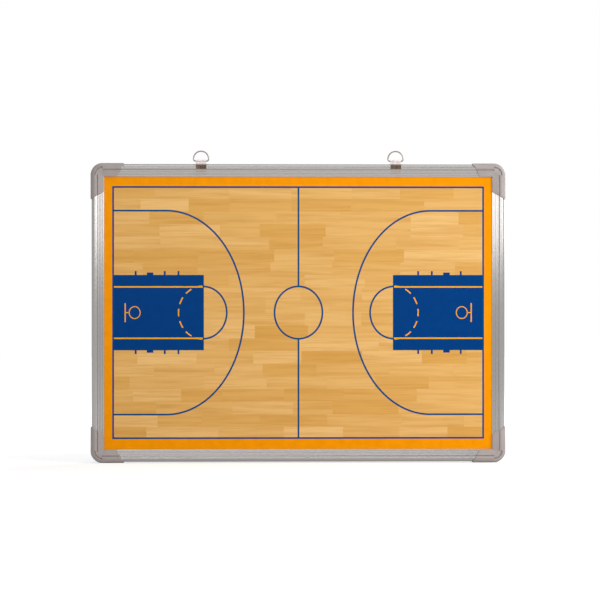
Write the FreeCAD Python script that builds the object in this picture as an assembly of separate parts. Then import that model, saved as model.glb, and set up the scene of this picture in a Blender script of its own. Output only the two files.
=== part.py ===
"""Hanging tactics board: a magnetic writing panel in an aluminium rail frame.

Four extruded rails grip a laminated panel.  Plastic corner caps cover the rail
ends, corner keys inside the rails join them, and two steel clips on the top
rail each carry a wire D-ring to hang the board by.

Frame: X runs along the board, Z up it, and -Y points out of the writing face.
The origin is the centre of the plane that lies against a wall.  Millimetres.
"""

import FreeCAD
import Part
import math
import os

# Overall size of the rail frame, outside edge to outside edge
board_width = 450.0
board_height = 324.0

# Laminated panel, from the writing face backwards
film_thickness = 0.2
face_sheet_thickness = 0.35
core_thickness = 6.2
back_sheet_thickness = 0.25
panel_inset = 7.3

# Rail section: u is measured inwards from the rail's outer edge
rail_width = 13.75
rail_setback = 14.8
bead_height = 2.8
bead_radius = 4.0
groove_at = 6.3
rail_groove_width = 1.0
rail_groove_depth = 0.3
groove_rim = 2.2
band_height = 2.3
lip_height = 0.95
lip_round = 0.4
rib_count = 3
rib_width = 0.5
rib_depth = 0.2
slot_clearance = 0.2
back_lip_width = 12.0
back_wall = 1.0
back_round = 0.8
outer_wall = 1.1
chamber_web = 1.0
chamber_front = 0.4

# Corner cap: a shell over the rail ends
cap_wall = 1.15
cap_back = 2.0
cap_back_round = 1.5
cap_inset = 0.3
cap_flange = 12.5
cap_leg_across = 37.2
cap_leg_up = 40.2
cap_end_run = 8.8
cap_tip_round = 1.2
cap_tip_cut = 0.15
cap_bevel_base = 2.0
cap_bevel_lean = 0.65
cap_radius = 13.0
cap_groove_width = 1.6
cap_groove_depth = 0.95
crescent_radius = 8.4
crescent_width = 1.9
crescent_depth = 1.55
crescent_field = 3.45
fit_clearance = 0.1

# Corner key inside the rail chambers
key_clearance = 0.1
key_leg = 36.8

# Self-tapping screws that hold each cap through the rail to the key
screw_at = 22.85
screw_radius = 1.45
screw_hole_radius = 1.6
screw_pilot_clearance = 0.05
screw_head_radius = 2.8
screw_head_height = 1.0
screw_length = 8.0
screw_recess_clearance = 0.2
screw_recess_depth = 1.1
screw_slot_length = 3.2
screw_slot_width = 0.7
screw_slot_depth = 0.5

# Hanger clips on the top rail
hanger_spacing = 212.0
clip_width = 11.5
clip_thickness = 0.5
clip_gap = 0.05
clip_front_leaf = 7.4
clip_back_leaf = 7.4
clip_slit = 0.3
eye_height = 3.5
ring_clearance = 0.08

# Blind rivets through the back leaf of each clip
rivet_radius = 1.5
rivet_hole_clearance = 0.05
rivet_head_radius = 2.6
rivet_head_height = 0.85
rivet_bulb_radius = 2.2
rivet_bulb_length = 2.5
rivet_mandrel_radius = 0.8
rivet_mandrel_depth = 0.4

# D-rings of round wire, measured on the wire's centre line
ring_wire = 1.5
ring_half_width = 8.2
ring_height = 10.6
ring_corner = 2.0
ring_butt_gap = 0.4

# Planes that the sizes above fix
panel_thickness = film_thickness + face_sheet_thickness + core_thickness + back_sheet_thickness
rail_back = panel_thickness + back_wall
face_y = -(rail_back + cap_back)
slot_bottom = panel_inset - slot_clearance
chamber_inner = slot_bottom - chamber_web
chamber_middle = (outer_wall + chamber_inner) / 2
bead_centre = bead_radius - bead_height
cap_inner = rail_width - cap_inset
corner_centre = cap_radius - cap_wall
hanger_depth = (rail_back - bead_height) / 2
ring_radius = ring_wire / 2
cap_reach = max(cap_leg_across, cap_leg_up)
cap_slant = cap_end_run / (cap_inner + cap_wall)
cap_margin = cap_wall
cap_front = -(bead_height + cap_wall + cap_margin)
trim_outer = -(cap_wall + cap_margin)
trim_inner = cap_inner + cap_margin

UP = FreeCAD.Vector(0, 0, 1)
BACK = FreeCAD.Vector(0, 1, 0)
RIGHT = FreeCAD.Vector(1, 0, 0)


def rail_point(u, depth):
    """A section point: u inwards from a rail's outer edge, depth behind the writing face."""
    return FreeCAD.Vector(0, face_y + depth, -u)


def closed_wire(steps, place):
    """A closed wire through steps: two numbers end a line, four give an arc's middle and end."""
    edges = []
    current = steps[0]
    for step in steps[1:] + [steps[0]]:
        end = step[-2:]
        if len(step) == 4:
            arc = Part.Arc(place(*current), place(*step[:2]), place(*end))
            edges.append(arc.toShape())
        elif current != end:
            edges.append(Part.LineSegment(place(*current), place(*end)).toShape())
        current = end
    return Part.Wire(edges)


def arc_middle(centre_u, centre_depth, radius, degrees):
    """The point of a circle at an angle from +u towards +depth."""
    angle = math.radians(degrees)
    return (centre_u + radius * math.cos(angle), centre_depth + radius * math.sin(angle))


def bead_steps(offset):
    """The rounded outer bead, from the outer edge to its crest, grown outwards by offset."""
    middle = arc_middle(bead_radius, bead_centre, bead_radius + offset, 225)
    return [(-offset, bead_centre), (*middle, bead_radius, -bead_height - offset)]


def front_steps(offset, groove_width, groove_depth, inner_edge, ribs):
    """The front of a rail or cap leg: bead, groove, sloping band and rounded inner edge."""
    groove_start = groove_at - groove_width / 2
    groove_end = groove_at + groove_width / 2
    sag = (bead_height - groove_rim) / 4
    steps = bead_steps(offset)
    steps.append(
        (
            (bead_radius + groove_start) / 2,
            -(bead_height - sag + offset),
            groove_start,
            -(groove_rim + offset),
        )
    )
    steps.append((groove_at, -(groove_rim + offset - groove_depth)))
    band_start = (groove_end, -(band_height + offset))
    band_end = (inner_edge - lip_round, -(lip_height + offset))
    slope = (band_end[1] - band_start[1]) / (band_end[0] - band_start[0])
    steps.append(band_start)
    pitch = (band_end[0] - band_start[0]) / (ribs + 1)
    for index in range(1, ribs + 1):
        rib_u = band_start[0] + index * pitch
        rib_depth_here = band_start[1] + slope * (rib_u - band_start[0])
        half = rib_width / 2
        steps.append((rib_u - half, rib_depth_here - slope * half))
        steps.append((rib_u, rib_depth_here + rib_depth))
        steps.append((rib_u + half, rib_depth_here + slope * half))
    steps.append(band_end)
    middle = arc_middle(band_end[0], band_end[1] + lip_round, lip_round, -45)
    steps.append((*middle, inner_edge, band_end[1] + lip_round))
    return steps


def back_corner(outer_edge, back, radius):
    """The rounded outer back edge of a rail or cap section, walked towards the front."""
    middle = arc_middle(outer_edge + radius, back - radius, radius, 135)
    return [(outer_edge + radius, back), (*middle, outer_edge, back - radius)]


def rail_section():
    """The hollow rail section: a panel slot on the inside and a key chamber outside it."""
    lip_middle = arc_middle(back_lip_width - back_round, rail_back - back_round, back_round, 45)
    steps = front_steps(0, rail_groove_width, rail_groove_depth, rail_width, rib_count)
    steps += [
        (rail_width, 0.0),
        (slot_bottom, 0.0),
        (slot_bottom, panel_thickness),
        (back_lip_width, panel_thickness),
        (back_lip_width, rail_back - back_round),
        (*lip_middle, back_lip_width - back_round, rail_back),
    ]
    steps += back_corner(0.0, rail_back, back_round)
    chamber = [
        (outer_wall, -chamber_front),
        (chamber_inner, -chamber_front),
        (chamber_inner, panel_thickness),
        (outer_wall, panel_thickness),
    ]
    outline = Part.Face(closed_wire(steps, rail_point))
    return outline.cut(Part.Face(closed_wire(chamber, rail_point)))


def rail_envelope():
    """The rail's filled outline grown by the cap's fit clearance."""
    inner = rail_width + fit_clearance
    steps = front_steps(fit_clearance, rail_groove_width, rail_groove_depth, inner, 0)
    steps += [(inner, rail_back)]
    steps += back_corner(-fit_clearance, rail_back, back_round)
    return Part.Face(closed_wire(steps, rail_point))


def drill(x, z, radius, depth_from, depth_to):
    """A cylinder along Y between two depths behind the writing face."""
    start = FreeCAD.Vector(x, face_y + depth_from, z)
    return Part.makeCylinder(radius, depth_to - depth_from, start, BACK)


def block(x_range, depth_range, z_range):
    """A box between limits in X, in depth behind the writing face and in Z."""
    corner = FreeCAD.Vector(x_range[0], face_y + depth_range[0], z_range[0])
    return Part.makeBox(
        x_range[1] - x_range[0], depth_range[1] - depth_range[0], z_range[1] - z_range[0], corner
    )


def turned(shape, degrees, x=0.0, z=0.0):
    """A copy of shape turned about Y at the origin, then moved in X and Z."""
    copy = shape.copy()
    copy.rotate(FreeCAD.Vector(), BACK, degrees)
    copy.translate(FreeCAD.Vector(x, 0, z))
    return copy


def panel_sheet(depth, thickness):
    """One sheet of the panel: it reaches into the rail slots on all four sides."""
    half_width = board_width / 2 - panel_inset
    half_height = board_height / 2 - panel_inset
    return block(
        (-half_width, half_width), (depth, depth + thickness), (-half_height, half_height)
    )


def rail(side_length, distance, degrees, rivet_places):
    """A rail with its outer edge at distance from the board's centre, turned to its side."""
    length = side_length - 2 * rail_setback
    section = rail_section()
    section.translate(FreeCAD.Vector(-length / 2, 0, distance))
    bar = section.extrude(FreeCAD.Vector(length, 0, 0))
    hole_z = distance - chamber_middle
    screw_x = side_length / 2 - screw_at
    for x in (-screw_x, screw_x):
        bar = bar.cut(drill(x, hole_z, screw_hole_radius, panel_thickness, rail_back))
    for x in rivet_places:
        radius = rivet_radius + rivet_hole_clearance
        bar = bar.cut(drill(x, hole_z, radius, panel_thickness, rail_back))
    return turned(bar, degrees)


def key_outline(clearance):
    """The key's L outline about the rail corner at the origin, with legs along -X and -Z."""
    outer = outer_wall + key_clearance - clearance
    inner = chamber_inner - key_clearance + clearance
    end = key_leg + clearance
    bend = corner_centre - outer
    middle = corner_centre - bend * math.sqrt(0.5)
    steps = [
        (end, outer),
        (corner_centre, outer),
        (middle, middle, outer, corner_centre),
        (outer, end),
        (inner, end),
        (inner, inner),
        (end, inner),
    ]
    depth = -chamber_front + key_clearance - clearance

    def place(a, b):
        return FreeCAD.Vector(-a, face_y + depth, -b)

    height = panel_thickness + chamber_front - 2 * (key_clearance - clearance)
    return Part.Face(closed_wire(steps, place)).extrude(BACK * height)


def screw_places():
    """The two screw positions on a corner, about the rail corner at the origin."""
    return [(-screw_at, -chamber_middle), (-chamber_middle, -screw_at)]


def corner_key():
    """An L-shaped key that plugs into the chambers of two rails."""
    key = key_outline(0)
    pilot = screw_radius + screw_pilot_clearance
    screw_tip = rail_back + cap_back - screw_recess_depth - screw_length
    for x, z in screw_places():
        key = key.cut(drill(x, z, pilot, screw_tip - fit_clearance, panel_thickness))
    return key


def cap_leg_solid():
    """One filled leg of a cap along -X, longer than needed; its end is trimmed later."""
    back = rail_back + cap_back
    steps = front_steps(cap_wall, cap_groove_width, cap_groove_depth, cap_inner, 0)
    steps += [(cap_inner, 0.0), (cap_flange, 0.0), (cap_flange, back)]
    steps += back_corner(-cap_wall, back, cap_back_round)
    section = Part.Face(closed_wire(steps, rail_point))
    section.translate(FreeCAD.Vector(-corner_centre, 0, 0))
    return section.extrude(FreeCAD.Vector(-cap_reach, 0, 0))


def cap_corner_solid():
    """The round corner between the legs: bead, crescent groove and a smooth field inside."""
    back = rail_back + cap_back
    rim = corner_centre - crescent_radius
    half = crescent_width / 2
    crest = bead_height + cap_wall
    band_start = groove_at + cap_groove_width / 2
    band_run = cap_inner - lip_round - band_start
    fall = (band_height - lip_height) / band_run
    middle_height = band_height + cap_wall - fall * (corner_centre - band_start)
    reach = bead_radius + cap_wall
    turn = math.degrees(math.acos((bead_radius - rim + half) / reach))
    bead_middle = arc_middle(bead_radius, bead_centre, reach, 180 + turn / 2)
    bead_end = arc_middle(bead_radius, bead_centre, reach, 180 + turn)
    steps = [
        (-cap_wall, bead_centre),
        (*bead_middle, *bead_end),
        (rim, crescent_depth - crest),
        (rim + half, -crescent_field),
        (band_start, -(band_height + cap_wall)),
        (corner_centre, -middle_height),
        (corner_centre, back),
    ]
    steps += back_corner(-cap_wall, back, cap_back_round)
    section = Part.Face(closed_wire(steps, rail_point))
    section.translate(FreeCAD.Vector(-corner_centre, 0, 0))
    axis_point = FreeCAD.Vector(-corner_centre, 0, -corner_centre)
    return section.revolve(axis_point, BACK, 90)


def cap_end(leg, u):
    """Where a cap's leg of a given length ends, measured along it from the rail corner."""
    return leg - cap_wall - cap_slant * (u + cap_wall)


def cap_leg_trim(leg):
    """The front outline of one leg, with its slanting end and that end's rounded tip, as a deep block."""
    tilt = math.degrees(math.atan(cap_slant))
    tip_u = cap_tip_round - cap_tip_cut - cap_wall
    tip_along = cap_end(leg, tip_u) - cap_tip_round / math.cos(math.radians(tilt))
    middle = arc_middle(tip_along, tip_u, cap_tip_round, (tilt - 90) / 2)
    touch = arc_middle(tip_along, tip_u, cap_tip_round, tilt)
    steps = [
        (trim_outer, trim_outer),
        (tip_along, trim_outer),
        (tip_along, tip_u - cap_tip_round),
        (*middle, *touch),
        (cap_end(leg, trim_inner), trim_inner),
        (trim_outer, trim_inner),
    ]

    def place(a, b):
        return FreeCAD.Vector(-a, face_y + cap_front, -b)

    depth = rail_back + cap_back + cap_margin - cap_front
    return Part.Face(closed_wire(steps, place)).extrude(BACK * depth)


def cap_end_bevel(leg):
    """A wedge that bevels the front of one leg's slanting end down to the rail."""
    start = cap_end(leg, trim_outer)
    rise = -cap_bevel_base - cap_front
    steps = [
        (start, -cap_bevel_base),
        (start + leg, -cap_bevel_base),
        (start + leg, cap_front),
        (start - cap_bevel_lean * rise, cap_front),
    ]

    def place(a, depth):
        return FreeCAD.Vector(-a, face_y + depth, -trim_outer)

    run = trim_inner - trim_outer
    return Part.Face(closed_wire(steps, place)).extrude(FreeCAD.Vector(cap_slant * run, 0, -run))


def across_diagonal(shape):
    """The mirror of shape that swaps a corner's two legs."""
    return shape.mirror(FreeCAD.Vector(), FreeCAD.Vector(1, 0, -1))


def corner_cap():
    """A cap about the rail corner at the origin, hollowed for rails, panel, key and screws."""
    leg = cap_leg_solid()
    body = leg.fuse([across_diagonal(leg), cap_corner_solid()]).removeSplitter()
    trim = cap_leg_trim(cap_leg_across).fuse(across_diagonal(cap_leg_trim(cap_leg_up)))
    body = body.common(trim.removeSplitter())
    channel = rail_envelope()
    channel.translate(FreeCAD.Vector(-(rail_setback - fit_clearance), 0, 0))
    channel = channel.extrude(FreeCAD.Vector(-cap_reach, 0, 0))
    panel_edge = panel_inset - fit_clearance
    far = panel_edge + cap_reach
    pocket = block((-far, -panel_edge), (0.0, panel_thickness), (-far, -panel_edge))
    tools = [channel, across_diagonal(channel), pocket, key_outline(fit_clearance)]
    tools += [cap_end_bevel(cap_leg_across), across_diagonal(cap_end_bevel(cap_leg_up))]
    back = rail_back + cap_back
    head_seat = back - screw_recess_depth
    for x, z in screw_places():
        tools.append(drill(x, z, screw_hole_radius, panel_thickness, back))
        recess_radius = screw_head_radius + screw_recess_clearance
        tools.append(drill(x, z, recess_radius, head_seat, back))
    return body.cut(tools).removeSplitter()


def cap_screw():
    """A cross-slotted pan-head screw along Y, at a screw position at the origin."""
    seat = rail_back + cap_back - screw_recess_depth
    top = seat + screw_head_height
    head = drill(0, 0, screw_head_radius, seat, top)
    rim = [edge for edge in head.Edges if edge.BoundBox.YMin > face_y + top - fit_clearance]
    head = head.makeFillet(screw_head_height / 2, rim[:1])
    shank = drill(0, 0, screw_radius, seat - screw_length, seat)
    half_length = screw_slot_length / 2
    half_width = screw_slot_width / 2
    slot_depths = (top - screw_slot_depth, top + screw_slot_depth)
    slot = block((-half_length, half_length), slot_depths, (-half_width, half_width))
    return head.fuse(shank).removeSplitter().cut([slot, turned(slot, 90)])


def hanger_clip():
    """A steel strip folded over the top rail, with an eye for a ring; outer edge at z = 0."""
    inside = clip_gap
    outside = clip_gap + clip_thickness
    slit = clip_slit / 2
    neck = slit + clip_thickness
    front_in = bead_height + inside
    front_out = bead_height + outside
    inner_bend = arc_middle(bead_radius, bead_centre, bead_radius + inside, 225)
    outer_bend = arc_middle(bead_radius, bead_centre, bead_radius + outside, 225)
    front = [
        (clip_front_leaf, -front_out),
        (bead_radius, -front_out),
        (*outer_bend, -outside, bead_centre),
        (-outside, hanger_depth - neck),
        (-eye_height, hanger_depth - neck),
        (-eye_height, hanger_depth - slit),
        (-inside, hanger_depth - slit),
        (-inside, bead_centre),
        (*inner_bend, bead_radius, -front_in),
        (clip_front_leaf, -front_in),
    ]
    bend_depth = rail_back - back_round
    inner_fold = arc_middle(back_round, bend_depth, back_round + inside, 135)
    outer_fold = arc_middle(back_round, bend_depth, back_round + outside, 135)
    rear = [
        (clip_back_leaf, rail_back + outside),
        (back_round, rail_back + outside),
        (*outer_fold, -outside, bend_depth),
        (-outside, hanger_depth + neck),
        (-eye_height, hanger_depth + neck),
        (-eye_height, hanger_depth + slit),
        (-inside, hanger_depth + slit),
        (-inside, bend_depth),
        (*inner_fold, back_round, rail_back + inside),
        (clip_back_leaf, rail_back + inside),
    ]
    along = FreeCAD.Vector(clip_width, 0, 0)
    halves = [Part.Face(closed_wire(half, rail_point)).extrude(along) for half in (front, rear)]
    eye_centre = rail_point(-eye_height, hanger_depth)
    bore_radius = ring_radius + ring_clearance
    eye = Part.makeCylinder(bore_radius + clip_thickness, clip_width, eye_centre, RIGHT)
    bore = Part.makeCylinder(bore_radius, clip_width, eye_centre, RIGHT)
    throat = block((0, clip_width), (hanger_depth - slit, hanger_depth + slit), (0, eye_height))
    clip = halves[0].fuse([halves[1], eye]).cut([bore, throat]).removeSplitter()
    clip.translate(FreeCAD.Vector(-clip_width / 2, 0, 0))
    rivet_hole = rivet_radius + rivet_hole_clearance
    return clip.cut(drill(0, -chamber_middle, rivet_hole, rail_back, rail_back + outside))


def hanger_rivet():
    """A set blind rivet along Y, on a rail with its outer edge at z = 0."""
    seat = rail_back + clip_gap + clip_thickness
    top = seat + rivet_head_height
    z = -chamber_middle
    head = drill(0, z, rivet_head_radius, seat, top)
    rim = [edge for edge in head.Edges if edge.BoundBox.YMin > face_y + top - fit_clearance]
    head = head.makeFillet(rivet_head_height * 0.7, rim[:1])
    shank = drill(0, z, rivet_radius, panel_thickness, seat)
    bulb = drill(0, z, rivet_bulb_radius, panel_thickness - rivet_bulb_length, panel_thickness)
    mandrel_hole = drill(0, z, rivet_mandrel_radius, top - rivet_mandrel_depth, top)
    return head.fuse([shank, bulb]).removeSplitter().cut(mandrel_hole)


def d_ring():
    """A D of round wire whose straight bar lies in a clip's eye, butted inside the eye."""
    centre = rail_point(-eye_height, hanger_depth)

    def place(x, height):
        return centre + RIGHT * x + UP * height

    bar_end = ring_half_width - ring_corner
    bow_base = ring_height - ring_half_width
    bend = ring_corner * (1 - math.sqrt(0.5))
    gap = ring_butt_gap / 2
    edges = []
    for side in (1, -1):
        bar = [place(side * gap, 0), place(side * bar_end, 0)]
        corner_points = [
            bar[1],
            place(side * (ring_half_width - bend), bend),
            place(side * ring_half_width, ring_corner),
        ]
        foot = place(side * ring_half_width, bow_base)
        run = [
            Part.LineSegment(*bar).toShape(),
            Part.Arc(*corner_points).toShape(),
            Part.LineSegment(corner_points[2], foot).toShape(),
        ]
        edges += run if side == 1 else run[::-1]
        if side == 1:
            far_foot = place(-ring_half_width, bow_base)
            edges.append(Part.Arc(foot, place(0, ring_height), far_foot).toShape())
    path = Part.Wire(Part.__sortEdges__(edges))
    start = place(gap, 0)
    wire_section = Part.Wire(Part.makeCircle(ring_radius, start, RIGHT))
    return path.makePipeShell([wire_section], True, False)


def main():
    os.makedirs("parts", exist_ok=True)
    half_width = board_width / 2
    half_height = board_height / 2
    hangers = {"left": -hanger_spacing / 2, "right": hanger_spacing / 2}
    rivet_places = list(hangers.values())

    depth = 0.0
    nodes = {}
    for name, thickness in (
        ("printed_face_film", film_thickness),
        ("steel_face_sheet", face_sheet_thickness),
        ("core_board", core_thickness),
        ("back_sheet", back_sheet_thickness),
    ):
        nodes[name] = panel_sheet(depth, thickness)
        depth += thickness

    nodes["rail_top"] = rail(board_width, half_height, 0, rivet_places)
    nodes["rail_right"] = rail(board_height, half_width, 90, [])
    nodes["rail_bottom"] = rail(board_width, half_height, 180, [])
    nodes["rail_left"] = rail(board_height, half_width, 270, [])

    cap = corner_cap()
    twin = cap.mirror(FreeCAD.Vector(), RIGHT)
    key = corner_key()
    screw = cap_screw()
    screws = []
    for corner, shape, cap_degrees, degrees, x, z in (
        ("top_right", cap, 0, 0, half_width, half_height),
        ("bottom_right", twin, 180, 90, half_width, -half_height),
        ("bottom_left", cap, 180, 180, -half_width, -half_height),
        ("top_left", twin, 0, 270, -half_width, half_height),
    ):
        nodes["corner_cap_" + corner] = turned(shape, cap_degrees, x, z)
        nodes["corner_key_" + corner] = turned(key, degrees, x, z)
        for screw_x, screw_z in screw_places():
            placed = turned(screw, 0, screw_x, screw_z)
            screws.append(turned(placed, degrees, x, z))
    nodes["cap_screws"] = Part.makeCompound(screws)

    rivets = []
    for side, x in hangers.items():
        nodes[side + "_hanger_clip"] = turned(hanger_clip(), 0, x, half_height)
        nodes[side + "_d_ring"] = turned(d_ring(), 0, x, half_height)
        rivets.append(turned(hanger_rivet(), 0, x, half_height))
    nodes["hanger_rivets"] = Part.makeCompound(rivets)

    for name, shape in nodes.items():
        shape.exportStep(os.path.join("parts", name + ".step"))
        solids = len(shape.Solids)
        print(name, "solids", solids, "volume", round(shape.Volume, 2), "valid", shape.isValid())


main()
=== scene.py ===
"""Dresses the tactics board.

Prints its ball court, finishes its metal and plastic, and sets it in a plain studio.
"""

import math

import bmesh
import bpy
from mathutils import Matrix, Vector


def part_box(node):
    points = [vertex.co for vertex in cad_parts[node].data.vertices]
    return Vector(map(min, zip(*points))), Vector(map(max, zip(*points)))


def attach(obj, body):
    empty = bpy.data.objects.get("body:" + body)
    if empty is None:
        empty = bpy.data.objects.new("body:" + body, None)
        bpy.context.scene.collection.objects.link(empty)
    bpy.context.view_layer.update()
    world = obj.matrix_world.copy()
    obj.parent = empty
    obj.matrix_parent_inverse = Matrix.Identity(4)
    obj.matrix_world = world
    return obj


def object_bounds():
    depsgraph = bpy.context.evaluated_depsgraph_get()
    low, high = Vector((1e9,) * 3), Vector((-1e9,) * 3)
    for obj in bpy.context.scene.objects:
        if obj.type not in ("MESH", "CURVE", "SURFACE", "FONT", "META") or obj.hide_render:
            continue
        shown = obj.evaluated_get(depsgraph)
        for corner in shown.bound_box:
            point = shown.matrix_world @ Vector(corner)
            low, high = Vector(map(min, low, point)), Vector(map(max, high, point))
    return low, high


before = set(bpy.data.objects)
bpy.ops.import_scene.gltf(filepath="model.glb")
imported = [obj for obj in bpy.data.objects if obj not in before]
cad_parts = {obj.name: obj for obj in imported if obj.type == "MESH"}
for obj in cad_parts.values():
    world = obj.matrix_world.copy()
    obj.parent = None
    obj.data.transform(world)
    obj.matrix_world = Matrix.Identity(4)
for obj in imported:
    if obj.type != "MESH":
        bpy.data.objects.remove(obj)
CAD_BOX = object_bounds()

bl_info = {
    "name": "Tactics board",
    "version": (1, 0, 0),
    "blender": (4, 5, 0),
    "location": "View3D > Sidebar > Tactics board",
    "description": "Prints a ball court on the tactics board, finishes its pieces and lights it",
    "category": "Object",
}

MM = 0.001
FACE_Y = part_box("printed_face_film")[0].y
WINDOW_HALF_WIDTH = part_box("rail_right")[0].x
WINDOW_HALF_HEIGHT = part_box("rail_top")[0].z
RAIL_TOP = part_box("rail_top")[1].z
ENDS = ("left", "right")
SIDES = (-1, 1)
OVAL_SIDES = 360

# Prints start this far under the face, so that no gap shows beneath them
UNDERCUT = 0.02 * MM

# Edges are picked by their place, to within this
NEAR = 0.01 * MM

# Coats of ink that each print stands out of the face
# Prints that cross differ, so that no two of their faces lie in one plane
COATS = {
    "border": 1.0,
    "boundary": 1.3,
    "circle": 1.1,
    "halfway": 1.0,
    "three_point": 1.0,
    "key": 1.2,
    "throw_arc": 1.1,
    "dashes": 2.2,
    "lanes": 2.4,
    "basket": 2.4,
}

# A Mix node's factor and two colours, and its mixed colour among the outputs
# They go by number, because its sockets for plain numbers and vectors have the same names
FACTOR, FIRST, SECOND, MIXED = 0, 6, 7, 2

# A noise texture seldom leaves this range
NOISE_RANGE = {"From Min": 0.3, "From Max": 0.7}


def linear(code):
    """A colour's sRGB hex code as linear red, green and blue."""
    channels = [int(code[at : at + 2], 16) / 255 for at in (1, 3, 5)]
    return tuple(c / 12.92 if c <= 0.04045 else ((c + 0.055) / 1.055) ** 2.4 for c in channels)


WHITE = (*linear("#FFFFFF"), 1)


def size(name, millimetres, description):
    """A length that a user can change."""
    return bpy.props.FloatProperty(
        name=name, description=description, default=millimetres * MM, min=0.0, precision=5, unit="LENGTH"
    )


def places(name, millimetres, description):
    """Several lengths, such as distances along one line."""
    return bpy.props.FloatVectorProperty(
        name=name,
        description=description,
        default=[value * MM for value in millimetres],
        size=len(millimetres),
        precision=5,
        unit="LENGTH",
    )


def colour(name, code, description):
    """A colour that a user can change."""
    return bpy.props.FloatVectorProperty(
        name=name, description=description, default=linear(code), min=0.0, max=1.0, size=3, subtype="COLOR"
    )


def watts(name, power, description):
    """A lamp's power."""
    return bpy.props.FloatProperty(
        name=name, description=description, default=power, min=0.0, unit="POWER"
    )


class CourtPrint(bpy.types.PropertyGroup):
    """Sizes and inks of the printed court."""

    length: size("Length", 403.2, "Between the middles of the two end lines")
    width: size("Width", 273.2, "Between the middles of the two side lines")
    middle: places("Middle", (0.0, 0.4), "Court's middle right of and above the board's middle")
    coat: size("Ink coat", 0.03, "Thickness of one coat of ink")
    line: size("Line", 1.9, "Width of the blue lines")
    tuck: size("Tuck", 3.0, "How far the border runs on under the rails' lips")
    circle_length: size("Circle length", 54.1, "Centre and free-throw circles, along the court")
    circle_width: size("Circle width", 58.9, "Centre and free-throw circles, across the court")
    arc_reach: size("Arc reach", 84.2, "From the three-point line's straights to its furthest point")
    arc_width: size("Arc width", 221.8, "Between the three-point line's two straights")
    arc_straight: size("Arc straight", 57.9, "Length of the three-point line's straights")
    key_length: size("Key length", 98.6, "From the end line to the end of the key")
    key_width: size("Key width", 81.9, "Width of the blue key")
    mark_places: places("Lane marks", (24.5, 56.1, 71.0), "From the end line to each thin lane mark")
    mark_width: size("Mark width", 2.0, "Width of a thin lane mark")
    mark_length: size("Mark length", 4.2, "How far a thin lane mark stands out of the key")
    block_ends: places("Lane block", (36.6, 43.7), "From the end line to the two ends of the lane block")
    block_length: size("Block length", 2.7, "How far the lane block stands out of the key")
    throw_place: size("Free-throw middle", 97.4, "From the end line to the middle of the free-throw circle")
    lane_spread: size("Lane spread", 55.9, "Between the two orange lane lines")
    lane_line: size("Lane line", 1.55, "Width of the orange lane lines")
    dash_line: size("Dash width", 1.4, "Width of the dashed half circle")
    board_place: size("Backboard", 13.1, "From the end line to the backboard's mark")
    board_length: size("Backboard length", 20.6, "Length of the backboard's mark")
    board_line: size("Backboard width", 1.3, "Width of the backboard's mark")
    ring_place: size("Ring", 23.4, "From the end line to the middle of the ring's mark")
    ring_length: size("Ring length", 12.9, "Ring's mark along the court, outside")
    ring_width: size("Ring width", 13.9, "Ring's mark across the court, outside")
    ring_line: size("Ring line", 0.95, "Width of the ring's mark and its stem")
    orange: colour("Orange ink", "#F79802", "Border")
    line_orange: colour("Orange line ink", "#F9A900", "Lane lines, dashes and baskets, a little yellower")
    blue: colour("Blue ink", "#003C7E", "Keys")
    line_blue: colour("Blue line ink", "#00487F", "Court lines, a little greener")
    maple_pale: colour("Pale maple", "#EFC17C", "Palest planks of the printed floor")
    maple_deep: colour("Deep maple", "#DCA656", "Deepest planks of the printed floor")
    maple_grain: colour("Maple grain", "#CC9244", "Grain lines of the printed floor")
    strip_width: size("Strip width", 13.8, "Width of a printed floor strip")
    plank_length: size("Plank length", 66.0, "Usual length of a printed plank")


class BoardFinish(bpy.types.PropertyGroup):
    """Colours of the frame, the sheets and the hangers."""

    aluminium: colour("Aluminium", "#999694", "Anodised rails")
    cap: colour("Caps", "#A39A97", "Warm grey corner caps")
    key: colour("Keys", "#2A2A2B", "Corner keys inside the rails")
    zinc: colour("Galvanised sheet", "#B4B9BC", "Sheet on the back")
    steel: colour("Steel sheet", "#8C8F90", "Sheet behind the print")
    core: colour("Core", "#A58A62", "Fibreboard core")
    nickel: colour("Nickel", "#CCC4C2", "Hanger clips")
    wire: colour("Wire", "#8A827C", "Rings, duller than the clips")
    # Painted dark reflection on the clips' front leaf, standing in for the steel mirroring dark
    # surroundings
    painted_leaf_reflection: colour("Painted_reflection", "#54473F", "Front leaf of the hanger clips")
    # Painted highlight along the foot of the clips' front leaf, as if it caught warm light
    painted_foot_highlight: colour("Painted_highlight edge", "#8E8076", "Lower edge of that leaf")
    screw: colour("Screws", "#B9BCBE", "Screws and rivets")


class BoardStudio(bpy.types.PropertyGroup):
    """Camera, floor and lamps."""

    lens: bpy.props.FloatProperty(
        name="Lens", description="Focal length of the camera", default=180.0, min=1.0, unit="CAMERA"
    )
    picture: size("Picture", 652.7, "Width of the picture at the front of the board")
    aim: places("Aim", (1.55, 14.1), "Picture's middle right of and above the board's middle")
    turn: bpy.props.FloatProperty(
        name="Turn",
        description="Camera's place round the board, to the right of straight in front",
        default=math.radians(-1.7),
        subtype="ANGLE",
    )
    floor: colour("Floor", "#E7E7E7", "Pale matt floor")
    ambient: bpy.props.FloatProperty(
        name="Ambient",
        description="Strength of the light from all round",
        default=0.41,
        min=0.0,
        subtype="FACTOR",
    )
    key_lamp: watts("Key lamp", 9.2, "Soft lamp in front, above and to the right")
    front_lamp: watts("Front lamp", 2.2, "Low soft lamp between the camera and the board")
    top_lamp: watts("Top lamp", 3.6, "Soft lamp above the board")
    back_lamp: watts("Back lamp", 24.0, "Soft lamp behind and to the right")


# Flat ink shapes, facing forwards and placed from the court's middle


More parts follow.
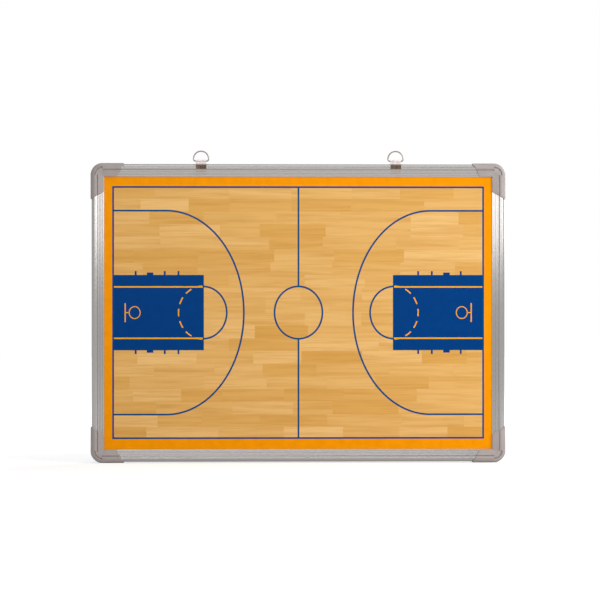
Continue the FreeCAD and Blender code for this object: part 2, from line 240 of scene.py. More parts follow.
def add_flat(name, width, height, x=0.0, z=0.0, oval=False):
    """Adds a plate or an oval just under the printed face."""
    bpy.ops.object.select_all(action="DESELECT")
    stand = {"location": (x, FACE_Y + UNDERCUT, z), "rotation": (math.pi / 2, 0, 0)}
    if oval:
        bpy.ops.mesh.primitive_circle_add(vertices=OVAL_SIDES, radius=0.5, fill_type="NGON", **stand)
    else:
        bpy.ops.mesh.primitive_plane_add(size=1, **stand)
    flat = bpy.context.object
    flat.name = flat.data.name = name
    flat.scale = (width, height, 1)
    bpy.ops.object.transform_apply(location=True, rotation=True, scale=True)
    return flat


def pick(*flats):
    """Selects these flats alone and makes the first one active."""
    bpy.ops.object.select_all(action="DESELECT")
    for flat in flats:
        flat.select_set(True)
    bpy.context.view_layer.objects.active = flats[0]


def keep_rim(flat, line):
    """Leaves only a line along the flat's edge."""
    pick(flat)
    bpy.ops.object.mode_set(mode="EDIT")
    bpy.ops.mesh.select_all(action="SELECT")
    bpy.ops.mesh.inset(thickness=line, depth=0)
    bpy.ops.mesh.delete(type="FACE")
    bpy.ops.object.mode_set(mode="OBJECT")


def cut(flat, x=None, z=None):
    """Cuts straight through the flat at one x or one z."""
    place, normal = ((x, 0, 0), (1, 0, 0)) if z is None else ((0, 0, z), (0, 0, 1))
    pick(flat)
    bpy.ops.object.mode_set(mode="EDIT")
    bpy.ops.mesh.select_all(action="SELECT")
    bpy.ops.mesh.bisect(plane_co=place, plane_no=normal)
    bpy.ops.object.mode_set(mode="OBJECT")


def pull_edges(flat, chosen, move):
    """Draws out the edges whose middles are chosen."""
    pick(flat)
    bpy.ops.object.mode_set(mode="EDIT")
    bpy.ops.mesh.select_mode(type="EDGE")
    bpy.ops.mesh.select_all(action="DESELECT")
    for edge in bmesh.from_edit_mesh(flat.data).edges:
        edge.select_set(chosen((edge.verts[0].co + edge.verts[1].co) / 2))
    bmesh.update_edit_mesh(flat.data)
    bpy.ops.mesh.extrude_region_move(TRANSFORM_OT_translate={"value": move})
    bpy.ops.object.mode_set(mode="OBJECT")


def drop_faces(flat, chosen):
    """Takes away the faces whose middles are chosen."""
    pick(flat)
    bpy.ops.object.mode_set(mode="EDIT")
    bpy.ops.mesh.select_mode(type="FACE")
    bpy.ops.mesh.select_all(action="DESELECT")
    for face in bmesh.from_edit_mesh(flat.data).faces:
        face.select_set(chosen(face.calc_center_median()))
    bmesh.update_edit_mesh(flat.data)
    bpy.ops.mesh.delete(type="FACE")
    bpy.ops.object.mode_set(mode="OBJECT")


def join(flats, name):
    """Makes one piece of several flats."""
    pick(*flats)
    bpy.ops.object.join()
    flats[0].name = flats[0].data.name = name
    return flats[0]


def turned(flat, name):
    """A copy of the flat, turned half round about the court's middle."""
    pick(flat)
    bpy.ops.object.duplicate(linked=False)
    copy = bpy.context.object
    copy.name = copy.data.name = name
    copy.rotation_euler = (0, math.pi, 0)
    bpy.ops.object.transform_apply(location=True, rotation=True, scale=True)
    return copy


def lay_ink(flat, court, ink, coats):
    """Thickens the flat until it stands some coats out of the face, and fixes it to the board."""
    pick(flat)
    bpy.ops.object.modifier_add(type="SOLIDIFY")
    thick = flat.modifiers[-1]
    thick.thickness = UNDERCUT + coats * court.coat
    thick.offset = 1
    bpy.ops.object.modifier_apply(modifier=thick.name)
    flat.location = (court.middle[0], 0, court.middle[1])
    bpy.ops.object.transform_apply(location=True, rotation=True, scale=True)
    flat.data.materials.append(screen_ink(ink, getattr(court, ink)))
    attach(flat, "board")


def both_ends(flat, name, court, ink, coats):
    """Lays a flat at the left end of the court and its turned copy at the right end."""
    flat.name = flat.data.name = f"{name}_left"
    copy = turned(flat, f"{name}_right")
    for end in (flat, copy):
        lay_ink(end, court, ink, coats)


# Materials


def per(x, y, z):
    """Repeats per metre of a pattern whose features measure x, y and z millimetres."""
    return (1 / (x * MM), 1 / (y * MM), 1 / (z * MM))


def add(tree, kind, inputs=None, **settings):
    """Adds a node: its inputs take values or other nodes' outputs, and settings are its properties."""
    made = tree.nodes.new("ShaderNode" + kind)
    for name, value in settings.items():
        setattr(made, name, value)
    for socket, value in (inputs or {}).items():
        if isinstance(value, bpy.types.NodeSocket):
            tree.links.new(value, made.inputs[socket])
        else:
            made.inputs[socket].default_value = value
    return made


def new_finish(name):
    """An empty material and the Object coordinates that its patterns follow."""
    finish = bpy.data.materials.new(name)
    finish.use_nodes = True
    finish.node_tree.nodes.clear()
    return finish, add(finish.node_tree, "TexCoord").outputs["Object"]


def put_on(finish, *nodes):
    """Gives CAD nodes a finish."""
    for name in nodes:
        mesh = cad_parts[name].data
        mesh.materials.clear()
        mesh.materials.append(finish)


def shaded(rgb, share):
    """A colour made darker or lighter by a share."""
    return (*(min(1.0, c * share) for c in rgb), 1.0)


def laminate(tree, place, paint):
    """Ends a print's material: a clear wipeable film with wiping smears and a faint orange peel.

    It mirrors less than real film, because the white surroundings would wash out the print.
    """
    wipe_tilt = math.radians(28.65)
    smear_map = add(
        tree, "Mapping", {"Vector": place, "Scale": per(70, 70, 28), "Rotation": (0, wipe_tilt, 0)}
    )
    smear = add(tree, "TexNoise", {"Vector": smear_map.outputs[0], "Scale": 1.0, "Detail": 3.0})
    gloss = add(
        tree, "MapRange", {"Value": smear.outputs[0], **NOISE_RANGE, "To Min": 0.26, "To Max": 0.36}
    )
    peel_map = add(tree, "Mapping", {"Vector": place, "Scale": per(1.4, 1.4, 1.4)})
    peel = add(tree, "TexNoise", {"Vector": peel_map.outputs[0], "Scale": 1.0, "Detail": 1.0})
    bump = add(tree, "Bump", {"Height": peel.outputs[0], "Strength": 0.03, "Distance": 0.05 * MM})
    shader = add(
        tree,
        "BsdfPrincipled",
        {
            "Base Color": paint,
            "Roughness": gloss.outputs[0],
            "Normal": bump.outputs[0],
            "IOR": 1.5,
            "Specular IOR Level": 0.03,
        },
    )
    add(tree, "OutputMaterial", {"Surface": shader.outputs[0]})


def maple_print(court):
    """Photo print of a maple strip floor: pale planks of random length and tone, with long soft grain."""
    finish, place = new_finish("maple floor print under clear laminate")
    tree = finish.node_tree
    metres = add(tree, "SeparateXYZ", {"Vector": place}).outputs
    across = add(tree, "Math", {0: metres["Z"], 1: court.strip_width}, operation="DIVIDE")
    strip = add(tree, "Math", {0: across.outputs[0]}, operation="FLOOR")
    # Every strip starts somewhere else in a row of this many planks
    row = 61.0
    chosen = add(tree, "TexWhiteNoise", {"W": strip.outputs[0]}, noise_dimensions="1D")
    start = add(tree, "Math", {0: chosen.outputs["Value"], 1: row}, operation="MULTIPLY")
    along = add(tree, "Math", {0: metres["X"], 1: court.plank_length}, operation="DIVIDE")
    step = add(tree, "Math", {0: along.outputs[0], 1: start.outputs[0]}, operation="ADD")
    plank = add(tree, "TexVoronoi", {"W": step.outputs[0], "Scale": 1.0}, voronoi_dimensions="1D")
    chance = add(tree, "SeparateColor", {"Color": plank.outputs["Color"]}).outputs
    tone = add(
        tree,
        "Mix",
        {FACTOR: chance["Red"], FIRST: (*court.maple_deep, 1), SECOND: (*court.maple_pale, 1)},
        data_type="RGBA",
    )
    # Each plank shows its own part of the grain, up to this many features away
    spread = 37.0
    shift = add(tree, "VectorMath", {0: plank.outputs["Color"], "Scale": spread}, operation="SCALE")
    # Broad and fine grain: size in millimetres, noise at which it starts and is full, and strength
    grains = (
        ((90, 9, 4.5), 0.42, 0.72, 0.5),
        ((38, 9, 1.1), 0.5, 0.75, 0.4),
    )
    paint = tone.outputs[MIXED]
    for feature, low, high, strength in grains:
        stretch = add(tree, "Mapping", {"Vector": place, "Scale": per(*feature)})
        moved = add(tree, "VectorMath", {0: stretch.outputs[0], 1: shift.outputs[0]}, operation="ADD")
        grain = add(
            tree,
            "TexNoise",
            {"Vector": moved.outputs[0], "Scale": 1.0, "Detail": 2.0, "Distortion": 0.4},
        )
        amount = add(
            tree,
            "MapRange",
            {"Value": grain.outputs[0], "From Min": low, "From Max": high, "To Max": strength},
        )
        layer = add(
            tree,
            "Mix",
            {FACTOR: amount.outputs[0], FIRST: paint, SECOND: (*court.maple_grain, 1)},
            data_type="RGBA",
        )
        paint = layer.outputs[MIXED]
    laminate(tree, place, paint)
    return finish


def screen_ink(ink, rgb):
    """Screen ink under the same laminate: even and saturated, a touch thinner in places."""
    name = ink.replace("_", " ") + " screen ink under clear laminate"
    finish = bpy.data.materials.get(name)
    if finish:
        return finish
    finish, place = new_finish(name)
    tree = finish.node_tree
    cloud_map = add(tree, "Mapping", {"Vector": place, "Scale": per(9, 9, 9)})
    cloud = add(tree, "TexNoise", {"Vector": cloud_map.outputs[0], "Scale": 1.0, "Detail": 4.0})
    thin = add(tree, "MapRange", {"Value": cloud.outputs[0], **NOISE_RANGE})
    paint = add(
        tree,
        "Mix",
        {FACTOR: thin.outputs[0], FIRST: shaded(rgb, 0.95), SECOND: shaded(rgb, 1.05)},
        data_type="RGBA",
    )
    laminate(tree, place, paint.outputs[MIXED])
    return finish


def anodised(rgb, run):
    """Natural anodised extrusion: satin grey with fine die lines along its run."""
    finish, place = new_finish("anodised aluminium along " + run)
    tree = finish.node_tree
    # The die lines are drawn 1.4 mm wide, coarser than real ones, so that they show
    lengths = {"X": (400, 1.4, 1.4), "Z": (1.4, 1.4, 400)}[run]
    lines_map = add(tree, "Mapping", {"Vector": place, "Scale": per(*lengths)})
    lines = add(tree, "TexNoise", {"Vector": lines_map.outputs[0], "Scale": 1.0, "Detail": 2.0})
    streak = add(tree, "MapRange", {"Value": lines.outputs[0], **NOISE_RANGE})
    metal = add(
        tree,
        "Mix",
        {FACTOR: streak.outputs[0], FIRST: shaded(rgb, 0.98), SECOND: shaded(rgb, 1.02)},
        data_type="RGBA",
    )
    rough = add(tree, "MapRange", {"Value": streak.outputs[0], "To Min": 0.24, "To Max": 0.22})
    bump = add(tree, "Bump", {"Height": lines.outputs[0], "Strength": 0.012, "Distance": 0.03 * MM})
    # The lines spread light across the run and hardly along it
    grain = add(tree, "CombineXYZ", {run: 1.0})
    shader = add(
        tree,
        "BsdfPrincipled",
        {
            "Base Color": metal.outputs[MIXED],
            "Metallic": 1.0,
            "Roughness": rough.outputs[0],
            "Normal": bump.outputs[0],
            "Anisotropic": 0.9,
            "Anisotropic Rotation": 0.25,
            "Tangent": grain.outputs[0],
        },
    )
    add(tree, "OutputMaterial", {"Surface": shader.outputs[0]})
    return finish


def moulded(name, rgb):
    """Injection-moulded ABS: satin, with a fine spark-eroded grain and slight flow marks."""
    finish, place = new_finish(name)
    tree = finish.node_tree
    # The mould grain is drawn 0.5 mm wide, coarser than the real one, so that it shows
    grain_map = add(tree, "Mapping", {"Vector": place, "Scale": per(0.5, 0.5, 0.5)})
    grain = add(tree, "TexNoise", {"Vector": grain_map.outputs[0], "Scale": 1.0, "Detail": 2.0})
    flow_map = add(tree, "Mapping", {"Vector": place, "Scale": per(14, 14, 14)})
    flow = add(tree, "TexNoise", {"Vector": flow_map.outputs[0], "Scale": 1.0, "Detail": 3.0})
    drift = add(tree, "MapRange", {"Value": flow.outputs[0], **NOISE_RANGE})
    paint = add(
        tree,
        "Mix",
        {FACTOR: drift.outputs[0], FIRST: shaded(rgb, 0.95), SECOND: shaded(rgb, 1.05)},
        data_type="RGBA",
    )
    rough = add(
        tree, "MapRange", {"Value": grain.outputs[0], **NOISE_RANGE, "To Min": 0.42, "To Max": 0.56}
    )
    # Moulded edges are never sharp, and catch the light
    edge = add(tree, "Bevel", {"Radius": 0.5 * MM}, samples=8)
    bump = add(
        tree,
        "Bump",
        {"Height": grain.outputs[0], "Strength": 0.25, "Distance": 0.06 * MM, "Normal": edge.outputs[0]},
    )
    shader = add(
        tree,
        "BsdfPrincipled",
        {
            "Base Color": paint.outputs[MIXED],
            "Roughness": rough.outputs[0],
            "Normal": bump.outputs[0],
            "IOR": 1.53,
            "Specular IOR Level": 0.4,
        },
    )
    add(tree, "OutputMaterial", {"Surface": shader.outputs[0]})
    return finish


def galvanised(rgb):
    """Hot-dip galvanised sheet: a spangle of dull and bright zinc crystals."""
    finish, place = new_finish("galvanised steel sheet")
    tree = finish.node_tree
    crystal_map = add(tree, "Mapping", {"Vector": place, "Scale": per(6, 6, 6)})
    wander = add(tree, "TexNoise", {"Vector": crystal_map.outputs[0], "Scale": 1.0, "Detail": 2.0})
    # The share of noise in the coordinates makes the crystals' edges jagged
    jagged = add(
        tree,
        "Mix",
        {FACTOR: 0.35, FIRST: crystal_map.outputs[0], SECOND: wander.outputs["Color"]},
        data_type="RGBA",
    )
    crystal = add(tree, "TexVoronoi", {"Vector": jagged.outputs[MIXED], "Scale": 1.0})
    chance = add(tree, "SeparateColor", {"Color": crystal.outputs["Color"]}).outputs
    metal = add(
        tree,
        "Mix",
        {FACTOR: chance["Red"], FIRST: shaded(rgb, 0.85), SECOND: shaded(rgb, 1.08)},
        data_type="RGBA",
    )
    rough = add(tree, "MapRange", {"Value": chance["Green"], "To Min": 0.34, "To Max": 0.52})
    shader = add(
        tree,
        "BsdfPrincipled",
        {"Base Color": metal.outputs[MIXED], "Metallic": 1.0, "Roughness": rough.outputs[0]},
    )
    add(tree, "OutputMaterial", {"Surface": shader.outputs[0]})
    return finish


def plated(name, rgb, feature, rough_low, rough_high):
    """Plated or bare metal: smooth, with a cloudy stain of the given size in millimetres."""
    finish, place = new_finish(name)
    tree = finish.node_tree
    stain_map = add(tree, "Mapping", {"Vector": place, "Scale": per(feature, feature, feature)})
    stain = add(tree, "TexNoise", {"Vector": stain_map.outputs[0], "Scale": 1.0, "Detail": 3.0})
    dull = add(tree, "MapRange", {"Value": stain.outputs[0], **NOISE_RANGE})
    metal = add(
        tree,
        "Mix",
        {FACTOR: dull.outputs[0], FIRST: shaded(rgb, 1.08), SECOND: shaded(rgb, 0.82)},
        data_type="RGBA",
    )
    rough = add(tree, "MapRange", {"Value": dull.outputs[0], "To Min": rough_low, "To Max": rough_high})
    shader = add(
        tree,
        "BsdfPrincipled",
        {"Base Color": metal.outputs[MIXED], "Metallic": 1.0, "Roughness": rough.outputs[0]},
    )
    add(tree, "OutputMaterial", {"Surface": shader.outputs[0]})
    return finish


def strap_steel(bright, painted_leaf_reflection, painted_foot_highlight):
    """Nickel-plated strip: satin round the eye, with a painted dark reflection on its front leaf and a
    painted highlight at its foot.
    """
    finish, place = new_finish("nickel-plated steel strip")
    tree = finish.node_tree
    brush_map = add(tree, "Mapping", {"Vector": place, "Scale": per(1.6, 1.6, 30)})
    brush = add(tree, "TexNoise", {"Vector": brush_map.outputs[0], "Scale": 1.0, "Detail": 2.0})
    streak = add(tree, "MapRange", {"Value": brush.outputs[0], **NOISE_RANGE})
    clean = add(
        tree,
        "Mix",
        {FACTOR: streak.outputs[0], FIRST: shaded(bright, 0.85), SECOND: shaded(bright, 1.1)},
        data_type="RGBA",
    )
    # Painted dark reflection: the front leaf is coloured dark, as if it mirrored dark surroundings
    painted_reflection_streaks = add(
        tree,
        "Mix",
        {FACTOR: streak.outputs[0], FIRST: shaded(painted_leaf_reflection, 0.6), SECOND: shaded(painted_leaf_reflection, 1.5)},
        data_type="RGBA",
    )
    # Each painted tone, the dark reflection and then the pale highlight, fades in downwards between two
    # heights, in millimetres above the rail
    tones = (
        # Painted dark reflection over the front leaf
        (painted_reflection_streaks.outputs[MIXED], 0.5, -1.1),
        # Painted highlight along the leaf's foot
        ((*painted_foot_highlight, 1), -5.2, -5.9),
    )
    metres = add(tree, "SeparateXYZ", {"Vector": place}).outputs
    front = add(tree, "Math", {0: metres["Y"], 1: FACE_Y}, operation="LESS_THAN")
    metal = clean.outputs[MIXED]
    for tone, start, end in tones:
        below = add(
            tree,
            "MapRange",
            {"Value": metres["Z"], "From Min": RAIL_TOP + start * MM, "From Max": RAIL_TOP + end * MM},
        )
        leaf = add(tree, "Math", {0: below.outputs[0], 1: front.outputs[0]}, operation="MULTIPLY")
        layer = add(
            tree,
            "Mix",
            {FACTOR: leaf.outputs[0], FIRST: metal, SECOND: tone},
            data_type="RGBA",
        )
        metal = layer.outputs[MIXED]
    rough = add(tree, "MapRange", {"Value": streak.outputs[0], "To Min": 0.55, "To Max": 0.45})
    shader = add(
        tree,
        "BsdfPrincipled",
        {"Base Color": metal, "Metallic": 1.0, "Roughness": rough.outputs[0]},
    )
    add(tree, "OutputMaterial", {"Surface": shader.outputs[0]})
    return finish


def fibreboard(rgb):
    """Pressed fibreboard: tan, matt and flecked with fibres."""
    finish, place = new_finish("pressed fibreboard")
    tree = finish.node_tree
    fibre_map = add(tree, "Mapping", {"Vector": place, "Scale": per(3, 0.6, 3)})
    fibre = add(tree, "TexNoise", {"Vector": fibre_map.outputs[0], "Scale": 1.0, "Detail": 5.0})
    fleck = add(tree, "MapRange", {"Value": fibre.outputs[0], "From Min": 0.35, "From Max": 0.65})
    paint = add(
        tree,
        "Mix",
        {FACTOR: fleck.outputs[0], FIRST: shaded(rgb, 0.75), SECOND: shaded(rgb, 1.2)},
        data_type="RGBA",
    )
    shader = add(tree, "BsdfPrincipled", {"Base Color": paint.outputs[MIXED], "Roughness": 0.85})
    add(tree, "OutputMaterial", {"Surface": shader.outputs[0]})
    return finish


# Court print


class TACTICS_OT_floor(bpy.types.Operator):
    """Print the maple floor on the face film"""

    bl_idname = "tactics.floor"
    bl_label = "Floor print"

    def execute(self, context):
        put_on(maple_print(context.scene.tactics_court), "printed_face_film")
        return {"FINISHED"}


class TACTICS_OT_border(bpy.types.Operator):
    """Print the orange border and the blue boundary inside it"""

    bl_idname = "tactics.border"
    bl_label = "Border and boundary"

    def execute(self, context):
        court = context.scene.tactics_court
        half_length, half_width = court.length / 2, court.width / 2
        border = add_flat(
            "court_border", 2 * (WINDOW_HALF_WIDTH + court.tuck), 2 * (WINDOW_HALF_HEIGHT + court.tuck)
        )
        for side in SIDES:
            cut(border, x=side * half_length)
            cut(border, z=side * half_width)
        drop_faces(border, lambda c: abs(c.x) < half_length and abs(c.z) < half_width)
        boundary = add_flat("court_boundary", court.length + court.line, court.width + court.line)
        keep_rim(boundary, court.line)
        lay_ink(border, court, "orange", COATS["border"])
        lay_ink(boundary, court, "line_blue", COATS["boundary"])
        return {"FINISHED"}


class TACTICS_OT_middle(bpy.types.Operator):
    """Print the halfway line and the centre circle"""

    bl_idname = "tactics.middle"
    bl_label = "Halfway line and centre circle"

    def execute(self, context):
        court = context.scene.tactics_court
        circle = add_flat("centre_circle", court.circle_length, court.circle_width, oval=True)
        keep_rim(circle, court.line)
        inner, outer = court.circle_width / 2 - court.line / 2, court.width / 2
        upper = add_flat("halfway_line_upper", court.line, outer - inner, z=(inner + outer) / 2)
        lower = turned(upper, "halfway_line_lower")
        lay_ink(circle, court, "line_blue", COATS["circle"])
        for half in (upper, lower):
            lay_ink(half, court, "line_blue", COATS["halfway"])
        return {"FINISHED"}


class TACTICS_OT_three_point(bpy.types.Operator):
    """Print the three-point lines"""

    bl_idname = "tactics.three_point"
    bl_label = "Three-point lines"

    def execute(self, context):
        court = context.scene.tactics_court
        joint = court.arc_straight - court.length / 2
        arc = add_flat(
            "arc", 2 * court.arc_reach + court.line, court.arc_width + court.line, joint, oval=True
        )
        keep_rim(arc, court.line)
        drop_faces(arc, lambda c: c.x < joint)
        pull_edges(arc, lambda c: abs(c.x - joint) < NEAR, (-court.arc_straight, 0, 0))
        both_ends(arc, "three_point_line", court, "line_blue", COATS["three_point"])
        return {"FINISHED"}


class TACTICS_OT_keys(bpy.types.Operator):
    """Print the blue keys with their lane marks"""

    bl_idname = "tactics.keys"
    bl_label = "Keys and lane marks"

    def execute(self, context):
        court = context.scene.tactics_court
        baseline = -court.length / 2
        key = add_flat("key", court.key_length, court.key_width, baseline + court.key_length / 2)
        marks = [
            (place - court.mark_width / 2, place + court.mark_width / 2, court.mark_length)
            for place in court.mark_places
        ]
        marks.append((*court.block_ends, court.block_length))
        for start, end, length in marks:
            self.draw_mark(key, court, (baseline + start, baseline + end), length)
        both_ends(key, "key", court, "blue", COATS["key"])
        return {"FINISHED"}

    def draw_mark(self, key, court, ends, length):
        """Draws one lane mark out of both long sides of the key."""
        for x in ends:
            cut(key, x=x)
        for side in SIDES:
            edge = side * court.key_width / 2
            pull_edges(
                key,
                lambda c: ends[0] < c.x < ends[1] and abs(c.z - edge) < NEAR,
                (0, 0, side * length),
            )


class TACTICS_OT_free_throw(bpy.types.Operator):
    """Print the free-throw circles, in line outside the key and in dashes inside it"""

    bl_idname = "tactics.free_throw"
    bl_label = "Free-throw circles"

    # Degrees of the dashed half circle, which has a dash at its furthest point
    DASH_PERIOD = 27
    DASH = 16

    def execute(self, context):
        court = context.scene.tactics_court
        middle = court.throw_place - court.length / 2
        key_end = court.key_length - court.length / 2
        arc = self.circle("free_throw_arc", court, middle, court.line)
        cut(arc, x=key_end)
        drop_faces(arc, lambda c: c.x < key_end)
        both_ends(arc, "free_throw_arc", court, "line_blue", COATS["throw_arc"])
        dashes = self.circle("free_throw_dashes", court, middle, court.dash_line)
        drop_faces(dashes, lambda c: c.x > middle or self.in_gap(c, court, middle))
        both_ends(dashes, "free_throw_dashes", court, "line_orange", COATS["dashes"])
        return {"FINISHED"}

    def circle(self, name, court, middle, line):
        """Adds the line of the left free-throw circle."""
        oval = add_flat(name, court.circle_length, court.circle_width, middle, oval=True)
        keep_rim(oval, line)
        return oval

    def in_gap(self, c, court, middle):
        """Whether a point of the half circle lies between two dashes."""
        x, z = (middle - c.x) / court.circle_length, c.z / court.circle_width
        turn = math.degrees(math.atan2(z, x)) + self.DASH / 2
        return turn % self.DASH_PERIOD > self.DASH


class TACTICS_OT_lanes(bpy.types.Operator):
    """Print the orange lane lines along the keys"""

    bl_idname = "tactics.lanes"
    bl_label = "Lane lines"

    def execute(self, context):
        court = context.scene.tactics_court
        start = court.line / 2 - court.length / 2
        end = court.throw_place - court.length / 2
        lanes = add_flat("lane_lines", end - start, court.lane_spread + court.lane_line, (start + end) / 2)
        inner = (court.lane_spread - court.lane_line) / 2
        for side in SIDES:
            cut(lanes, z=side * inner)
        drop_faces(lanes, lambda c: abs(c.z) < inner)
        both_ends(lanes, "lane_lines", court, "line_orange", COATS["lanes"])
        return {"FINISHED"}


class TACTICS_OT_baskets(bpy.types.Operator):
    """Print the backboards and rings"""

    bl_idname = "tactics.baskets"
    bl_label = "Baskets"

    def execute(self, context):
        court = context.scene.tactics_court
        baseline = -court.length / 2
        middle = baseline + court.ring_place
        ring = add_flat("ring", court.ring_length, court.ring_width, middle, oval=True)
        keep_rim(ring, court.ring_line)
        board = add_flat("basket", court.board_line, court.board_length, baseline + court.board_place)
        for side in SIDES:
            cut(board, z=side * court.ring_line / 2)
        face = baseline + court.board_place + court.board_line / 2
        # The stem ends a little inside the ring's line
        stem_end = middle - court.ring_length / 2 + court.ring_line / 4
        pull_edges(
            board,
            lambda c: abs(c.x - face) < NEAR and abs(c.z) < NEAR,
            (stem_end - face, 0, 0),
        )
        both_ends(join([board, ring], "basket"), "basket", court, "line_orange", COATS["basket"])
        return {"FINISHED"}


# Frame, sheets and hangers


class TACTICS_OT_rails(bpy.types.Operator):
    """Finish the four aluminium rails"""

    bl_idname = "tactics.rails"
    bl_label = "Rails"

    def execute(self, context):
        rgb = context.scene.tactics_finish.aluminium
        put_on(anodised(rgb, "X"), "rail_top", "rail_bottom")
        put_on(anodised(rgb, "Z"), "rail_left", "rail_right")
        return {"FINISHED"}


class TACTICS_OT_corners(bpy.types.Operator):
    """Finish the corner caps, their keys and their screws"""

    bl_idname = "tactics.corners"
    bl_label = "Corners"

    def execute(self, context):
        finish = context.scene.tactics_finish
        corners = [f"{level}_{side}" for level in ("top", "bottom") for side in ENDS]
        put_on(moulded("moulded grey ABS", finish.cap), *(f"corner_cap_{c}" for c in corners))
        put_on(moulded("moulded black ABS", finish.key), *(f"corner_key_{c}" for c in corners))
        put_on(plated("zinc-plated screw steel", finish.screw, 2, 0.25, 0.45), "cap_screws")
        return {"FINISHED"}


class TACTICS_OT_sheets(bpy.types.Operator):
    """Finish the sheets behind the print"""

    bl_idname = "tactics.sheets"
    bl_label = "Sheets"

    def execute(self, context):
        finish = context.scene.tactics_finish
        put_on(plated("zinc-plated steel sheet", finish.steel, 12, 0.5, 0.65), "steel_face_sheet")
        put_on(fibreboard(finish.core), "core_board")
        put_on(galvanised(finish.zinc), "back_sheet")
        return {"FINISHED"}


class TACTICS_OT_hangers(bpy.types.Operator):
    """Finish the hanger clips, D-rings and rivets"""

    bl_idname = "tactics.hangers"
    bl_label = "Hangers"

    def execute(self, context):
        finish = context.scene.tactics_finish
        # The clips' front leaf gets a painted dark reflection, and a painted highlight at its foot
        strap = strap_steel(finish.nickel, finish.painted_leaf_reflection, finish.painted_foot_highlight)
        put_on(strap, *(f"{end}_hanger_clip" for end in ENDS))
        wire = plated("nickel-plated wire", finish.wire, 4, 0.16, 0.3)
        put_on(wire, *(f"{end}_d_ring" for end in ENDS))
        put_on(plated("bare aluminium rivet", finish.screw, 1.5, 0.3, 0.5), "hanger_rivets")
        return {"FINISHED"}


# Studio


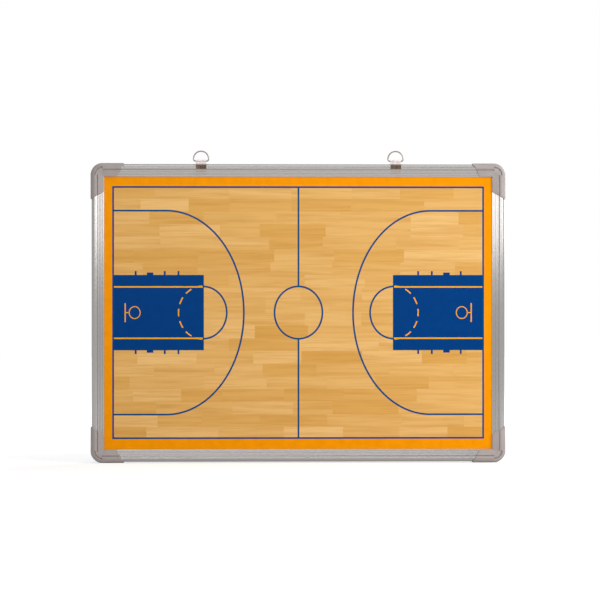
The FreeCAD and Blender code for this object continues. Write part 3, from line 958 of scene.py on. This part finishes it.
class TACTICS_OT_studio(bpy.types.Operator):
    """Set the floor, the lamps, the white surroundings and the camera"""

    bl_idname = "tactics.studio"
    bl_label = "Studio"

    # Each lamp's place in metres from the board's middle, its width and its height
    LAMPS = {
        "key_lamp": ((0.95, -0.85, 0.47), 0.88, 0.8),
        "front_lamp": ((-0.14, -1.5, 0.18), 1.0, 0.18),
        "top_lamp": ((0.2, -0.4, 1.2), 1.2, 0.6),
        "back_lamp": ((1.5, 1.3, 0.75), 1.4, 1.4),
    }
    # Side of the floor, in metres
    FLOOR_SIZE = 12
    # For the eye alone the floor glows, more from the first distance to the second, in metres, so that
    # it ends in the white surroundings
    GLOW_DISTANCES = (0.3, 1.2)
    GLOW_STRENGTHS = (0.42, 0.8)
    # Millimetres, as the lens is
    SENSOR_WIDTH = 36.0

    def execute(self, context):
        studio = context.scene.tactics_studio
        self.surroundings(context.scene, studio)
        self.floor(studio)
        for name, (place, width, height) in self.LAMPS.items():
            self.lamp(name, getattr(studio, name), place, width, height)
        self.camera(context, studio)
        context.scene.view_settings.view_transform = "Standard"
        return {"FINISHED"}

    def seen(self, tree):
        """1 for what the camera, metal or glass sees, and 0 for light that falls on the board."""
        path = add(tree, "LightPath").outputs
        shine = add(
            tree, "Math", {0: path["Is Glossy Ray"], 1: path["Is Transmission Ray"]}, operation="MAXIMUM"
        )
        both = add(tree, "Math", {0: path["Is Camera Ray"], 1: shine.outputs[0]}, operation="MAXIMUM")
        return both.outputs[0]

    def surroundings(self, scene, studio):
        """White all round for the eye, and an even, lower light on the board."""
        scene.world = bpy.data.worlds.new("white studio")
        scene.world.use_nodes = True
        tree = scene.world.node_tree
        tree.nodes.clear()
        light = add(tree, "Background", {"Color": WHITE, "Strength": studio.ambient})
        white = add(tree, "Background", {"Color": WHITE, "Strength": 1.0})
        mixed = add(tree, "MixShader", {0: self.seen(tree), 1: light.outputs[0], 2: white.outputs[0]})
        add(tree, "OutputWorld", {"Surface": mixed.outputs[0]})

    def floor(self, studio):
        """A pale matt floor under the caps, which takes the board's shadow."""
        bpy.ops.object.select_all(action="DESELECT")
        bpy.ops.mesh.primitive_plane_add(size=self.FLOOR_SIZE, location=(0, 0, CAD_BOX[0].z))
        floor = bpy.context.object
        floor.name = "studio_floor"
        finish, place = new_finish("pale matt floor")
        tree = finish.node_tree
        matt = add(tree, "BsdfDiffuse", {"Color": (*studio.floor, 1)})
        away = add(tree, "VectorMath", {0: place}, operation="LENGTH")
        near, far = self.GLOW_DISTANCES
        weak, strong = self.GLOW_STRENGTHS
        rise = add(
            tree,
            "MapRange",
            {
                "Value": away.outputs["Value"],
                "From Min": near,
                "From Max": far,
                "To Min": weak,
                "To Max": strong,
            },
        )
        glow = add(tree, "Math", {0: self.seen(tree), 1: rise.outputs[0]}, operation="MULTIPLY")
        white = add(tree, "Emission", {"Color": WHITE, "Strength": glow.outputs[0]})
        both = add(tree, "AddShader", {0: matt.outputs[0], 1: white.outputs[0]})
        add(tree, "OutputMaterial", {"Surface": both.outputs[0]})
        floor.data.materials.append(finish)

    def lamp(self, name, power, place, width, height):
        """A soft lamp that faces the board."""
        facing = (-Vector(place)).to_track_quat("-Z", "Y").to_euler()
        bpy.ops.object.light_add(type="AREA", location=place, rotation=facing)
        lamp = bpy.context.object
        lamp.name = lamp.data.name = name
        lamp.data.energy = power
        lamp.data.shape = "RECTANGLE"
        lamp.data.size, lamp.data.size_y = width, height

    def camera(self, context, studio):
        """Almost straight in front of the board, as far off as the lens needs to fit the picture."""
        distance = studio.picture * studio.lens / self.SENSOR_WIDTH
        aim = Vector((studio.aim[0], CAD_BOX[0].y, studio.aim[1]))
        away = Vector((math.sin(studio.turn), -math.cos(studio.turn), 0))
        bpy.ops.object.camera_add(location=aim + distance * away, rotation=(math.pi / 2, 0, studio.turn))
        camera = bpy.context.object
        camera.data.lens = studio.lens
        camera.data.sensor_width = self.SENSOR_WIDTH
        context.scene.camera = camera


STEPS = (
    TACTICS_OT_floor,
    TACTICS_OT_border,
    TACTICS_OT_middle,
    TACTICS_OT_three_point,
    TACTICS_OT_keys,
    TACTICS_OT_free_throw,
    TACTICS_OT_lanes,
    TACTICS_OT_baskets,
    TACTICS_OT_rails,
    TACTICS_OT_corners,
    TACTICS_OT_sheets,
    TACTICS_OT_hangers,
    TACTICS_OT_studio,
)
GROUPS = {"tactics_court": CourtPrint, "tactics_finish": BoardFinish, "tactics_studio": BoardStudio}


class TACTICS_PT_board(bpy.types.Panel):
    """Lists the steps that dress the board, with their sizes and colours"""

    bl_idname = "TACTICS_PT_board"
    bl_label = "Tactics board"
    bl_space_type = "VIEW_3D"
    bl_region_type = "UI"
    bl_category = "Tactics board"

    def draw(self, context):
        for step in STEPS:
            self.layout.operator(step.bl_idname)
        for name, group in GROUPS.items():
            box = self.layout.box()
            for setting in group.__annotations__:
                box.prop(getattr(context.scene, name), setting)


def register():
    for cls in (*GROUPS.values(), *STEPS, TACTICS_PT_board):
        bpy.utils.register_class(cls)
    for name, group in GROUPS.items():
        setattr(bpy.types.Scene, name, bpy.props.PointerProperty(type=group))


def unregister():
    for name in GROUPS:
        delattr(bpy.types.Scene, name)
    for cls in (TACTICS_PT_board, *reversed(STEPS), *GROUPS.values()):
        bpy.utils.unregister_class(cls)


def main():
    register()
    bpy.ops.tactics.floor()
    bpy.ops.tactics.border()
    bpy.ops.tactics.middle()
    bpy.ops.tactics.three_point()
    bpy.ops.tactics.keys()
    bpy.ops.tactics.free_throw()
    bpy.ops.tactics.lanes()
    bpy.ops.tactics.baskets()
    bpy.ops.tactics.rails()
    bpy.ops.tactics.corners()
    bpy.ops.tactics.sheets()
    bpy.ops.tactics.hangers()
    bpy.ops.tactics.studio()


if __name__ == "__main__":
    main()
